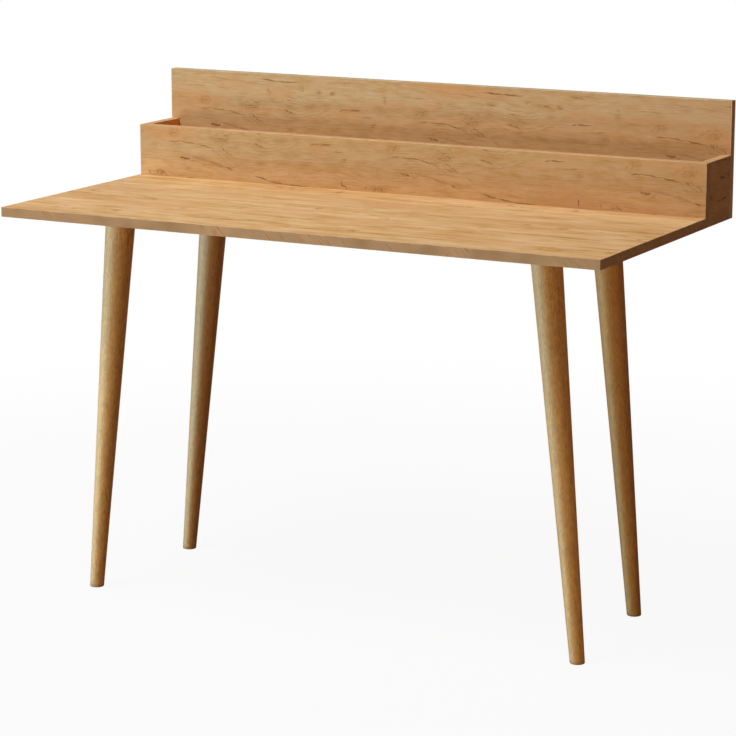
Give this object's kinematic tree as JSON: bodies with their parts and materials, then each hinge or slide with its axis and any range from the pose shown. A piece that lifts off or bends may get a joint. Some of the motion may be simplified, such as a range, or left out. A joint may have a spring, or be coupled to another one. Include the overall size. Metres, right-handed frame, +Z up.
{
  "type": "writing desk with rear pen tray",
  "caption": "Sit-down writing desk: thin faced-board top on splayed tapered turned legs, with an open full-width tray along the rear edge and a taller back board behind it.",
  "frame": {"origin": "on the floor, under the middle of the desk's overall width and depth", "axes": "+Z up, +X along the desk to the sitter's right, the sitter is at -Y and the back board at +Y"},
  "size_m": [1.2, 0.618, 0.955],
  "materials": {
    "oak_faced_board": "satin melamine facing with an oak decor",
    "oak_edge_band": "satin, oak decor",
    "turned_beech": "satin lacquer",
    "beech_dowel": "raw",
    "zinc_plated_steel": "bright zinc plated"
  },
  "bodies": {
    "root": {"back_board": "oak_faced_board", "back_bottom_edge_band": "oak_edge_band", "back_dowels": "beech_dowel", "back_left_edge_band": "oak_edge_band", "back_right_edge_band": "oak_edge_band", "back_screws": "zinc_plated_steel", "back_top_edge_band": "oak_edge_band", "desk_top": "oak_faced_board", "front_left_leg": "turned_beech", "front_left_leg_bolt": "zinc_plated_steel", "front_left_leg_nut": "zinc_plated_steel", "front_left_leg_plate": "zinc_plated_steel", "front_left_plate_screws": "zinc_plated_steel", "front_right_leg": "turned_beech", "front_right_leg_bolt": "zinc_plated_steel", "front_right_leg_nut": "zinc_plated_steel", "front_right_leg_plate": "zinc_plated_steel", "front_right_plate_screws": "zinc_plated_steel", "rear_left_leg": "turned_beech", "rear_left_leg_bolt": "zinc_plated_steel", "rear_left_leg_nut": "zinc_plated_steel", "rear_left_leg_plate": "zinc_plated_steel", "rear_left_plate_screws": "zinc_plated_steel", "rear_right_leg": "turned_beech", "rear_right_leg_bolt": "zinc_plated_steel", "rear_right_leg_nut": "zinc_plated_steel", "rear_right_leg_plate": "zinc_plated_steel", "rear_right_plate_screws": "zinc_plated_steel", "top_front_edge_band": "oak_edge_band", "top_left_edge_band": "oak_edge_band", "top_right_edge_band": "oak_edge_band", "tray_corner_dowels": "beech_dowel", "tray_front_board": "oak_faced_board", "tray_front_dowels": "beech_dowel", "tray_front_left_edge_band": "oak_edge_band", "tray_front_right_edge_band": "oak_edge_band", "tray_front_screws": "zinc_plated_steel", "tray_front_top_edge_band": "oak_edge_band", "tray_left_side": "oak_faced_board", "tray_left_top_edge_band": "oak_edge_band", "tray_right_side": "oak_faced_board", "tray_right_top_edge_band": "oak_edge_band", "tray_side_dowels": "beech_dowel", "tray_side_lower_screws": "zinc_plated_steel", "tray_side_rear_screws": "zinc_plated_steel"}
  },
  "joints": []
}
